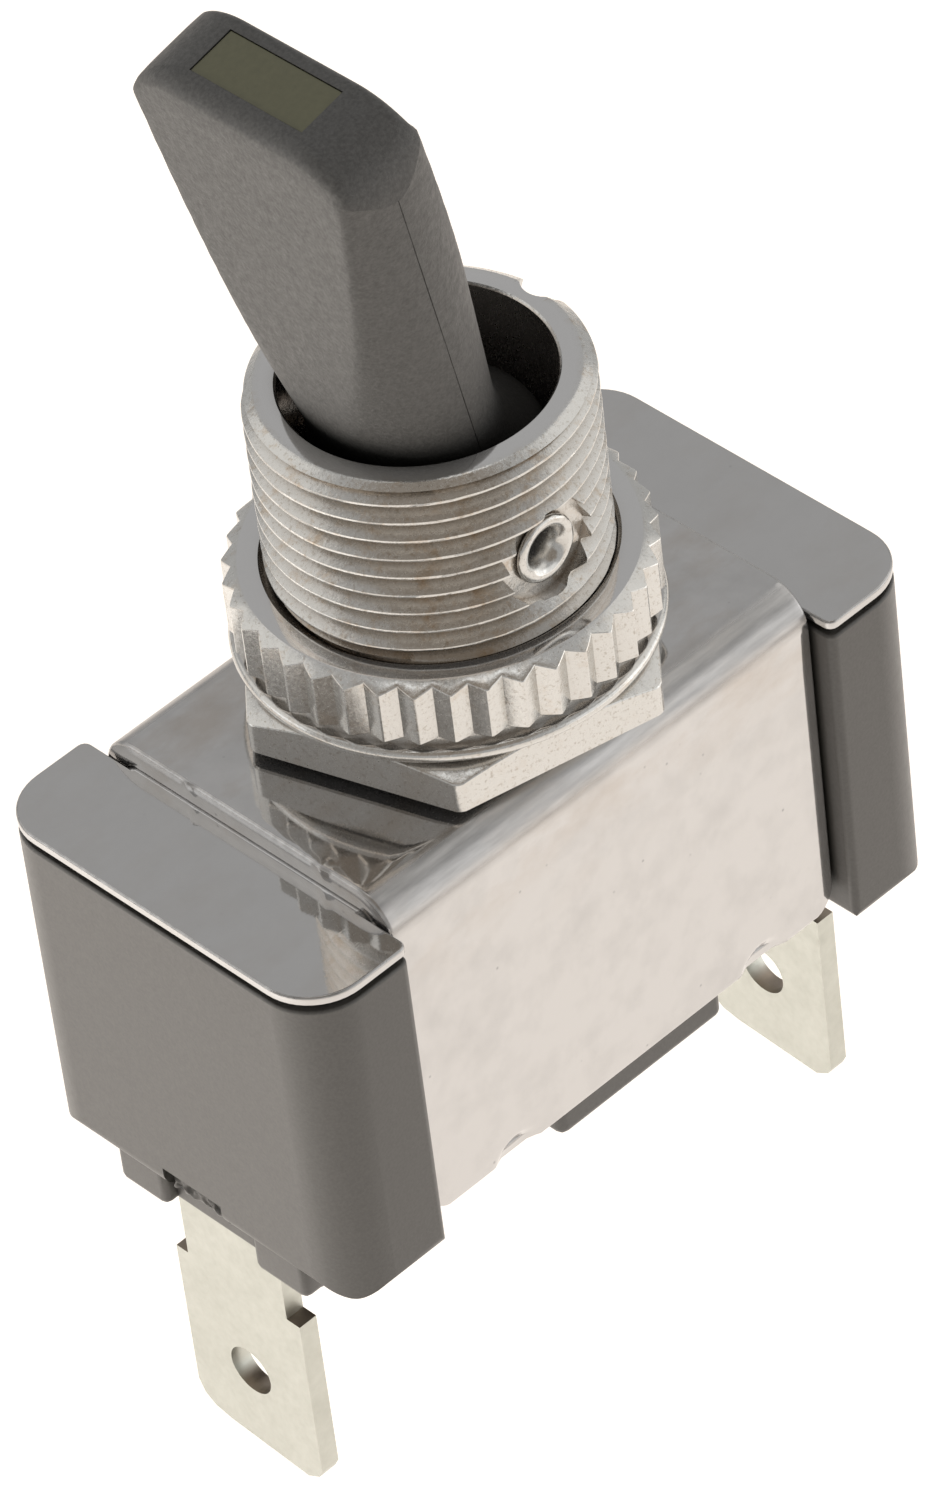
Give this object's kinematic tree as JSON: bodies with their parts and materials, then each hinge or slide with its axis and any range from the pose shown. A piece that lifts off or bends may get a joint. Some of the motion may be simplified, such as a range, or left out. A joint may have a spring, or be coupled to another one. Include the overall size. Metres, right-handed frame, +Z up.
{
  "type": "panel toggle switch",
  "caption": "Single-pole on-off panel toggle switch with a threaded bushing, nuts, a wide duckbill lever with a lens in its end, a moulded body in a metal bracket and blade terminals.",
  "frame": {"origin": "on the bushing's axis, in the plane of the knurled nut's top face, where the free thread starts and a panel rests as stored", "axes": "+Z up along the bushing towards the lever's end; X along the body and the lever's throw, +X towards the load terminal; Y along the pivot pin"},
  "size_m": [0.0292, 0.0158, 0.0563],
  "materials": {
    "black_plastic": "satin moulded",
    "charcoal_plastic": "fine matte grain",
    "olive_lens": "smooth translucent, dark olive",
    "bright_steel": "polished and nickel plated",
    "steel": "nickel plated, tumbled",
    "nickel_brass": "nickel plated, turned",
    "tinned_brass": "plated, satin",
    "bare_brass": "plain",
    "silver": "plain",
    "copper_wire": "plain",
    "spring_steel": "plain",
    "fibre": "pressed fibre sheet",
    "clear_glass": "clear"
  },
  "bodies": {
    "switch_body": {"housing": "black_plastic", "cover_plate": "bright_steel", "insulator": "fibre", "bracket": "steel", "bushing": "nickel_brass", "pivot_pin": "steel", "line_terminal": "tinned_brass", "load_terminal": "tinned_brass", "cradle": "bare_brass", "cradle_rivet": "bare_brass", "fixed_contact": "silver"},
    "hex_nut_body": {"hex_nut": "nickel_brass"},
    "knurled_nut_body": {"knurled_nut": "nickel_brass"},
    "lever_body": {"lever": "charcoal_plastic", "lens": "olive_lens", "lamp_bulb": "clear_glass", "lamp_base": "bare_brass", "lamp_lead": "copper_wire", "ground_lead": "copper_wire", "spring_contact": "bare_brass", "plunger_spring": "spring_steel"},
    "plunger_body": {"plunger": "bare_brass"},
    "rocker_body": {"rocker": "bare_brass", "moving_contact": "silver"}
  },
  "joints": [
    {"name": "lever_toggle", "type": "hinge", "parent": "switch_body", "child": "lever_body", "pos_m": [0, 0, 0.0027], "axis": [0, 1, 0], "range_deg": [0, 27]},
    {"name": "rocker_tilt", "type": "hinge", "parent": "switch_body", "child": "rocker_body", "pos_m": [0, 0, -0.0123], "axis": [0, 1, 0], "range_deg": [-14, 0]},
    {"name": "plunger_press", "type": "slide", "parent": "lever_body", "child": "plunger_body", "axis": [-0.2334, 0, 0.9724], "range_m": [0, 0.0006], "stiffness_N_per_m": 300, "springref_m": -0.002, "deforming": ["plunger_spring"]},
    {"name": "hex_nut_turn", "type": "hinge", "parent": "switch_body", "child": "hex_nut_body", "pos_m": [0, 0, -0.004], "axis": [0, 0, 1], "continuous": true},
    {"name": "knurled_nut_turn", "type": "hinge", "parent": "switch_body", "child": "knurled_nut_body", "pos_m": [0, 0, -0.0015], "axis": [0, 0, 1], "continuous": true}
  ],
  "couplings": [
    {"joint": "rocker_tilt", "follows": "lever_toggle", "ratio": -0.5185}
  ]
}
